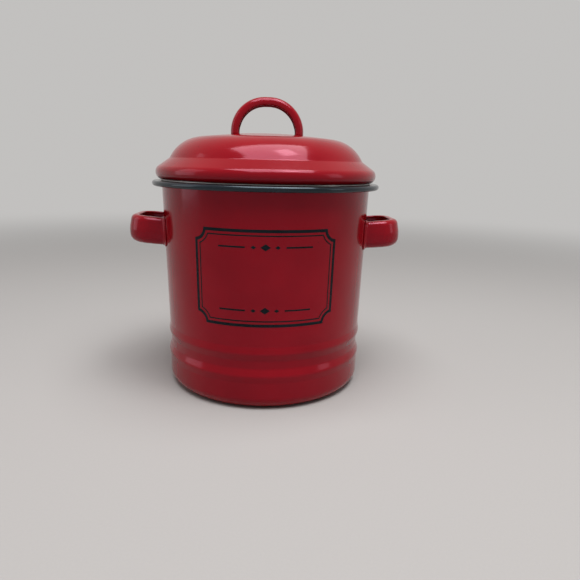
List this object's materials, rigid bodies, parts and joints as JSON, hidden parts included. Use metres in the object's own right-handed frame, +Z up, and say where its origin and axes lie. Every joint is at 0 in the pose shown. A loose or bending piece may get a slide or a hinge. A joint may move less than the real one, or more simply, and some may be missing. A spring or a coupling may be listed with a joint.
{
  "type": "grease container",
  "caption": "Round enamelled steel grease container with a domed lift-off lid and strap loop, side handles and a hanging wire-mesh strainer.",
  "frame": {"origin": "centre of the flat base, on the surface that the pot stands on", "axes": "+Z up along the pot's axis; -Y is the front; the two side handles stand at -X and +X"},
  "size_m": [0.1684, 0.14, 0.1769],
  "materials": {
    "red_enamel": "glossy fired enamel on steel",
    "black_enamel": "glossy fired enamel on steel",
    "stainless_steel": "satin",
    "wire_mesh": "woven wire"
  },
  "bodies": {
    "pot": {"pot_shell": "red_enamel", "rim_hoop": "black_enamel", "left_handle": "red_enamel", "right_handle": "red_enamel"},
    "strainer": {"strainer_cup": "stainless_steel", "strainer_mesh": "wire_mesh", "strainer_ring": "stainless_steel"},
    "lid": {"lid_shell": "red_enamel", "lid_collar": "red_enamel", "lid_handle": "red_enamel"}
  },
  "joints": [
    {"name": "strainer_lift", "type": "slide", "parent": "pot", "child": "strainer", "axis": [0, 0, 1], "range_m": [0, 0.06]},
    {"name": "lid_lift", "type": "slide", "parent": "strainer", "child": "lid", "axis": [0, 0, 1], "range_m": [0, 0.06]}
  ]
}
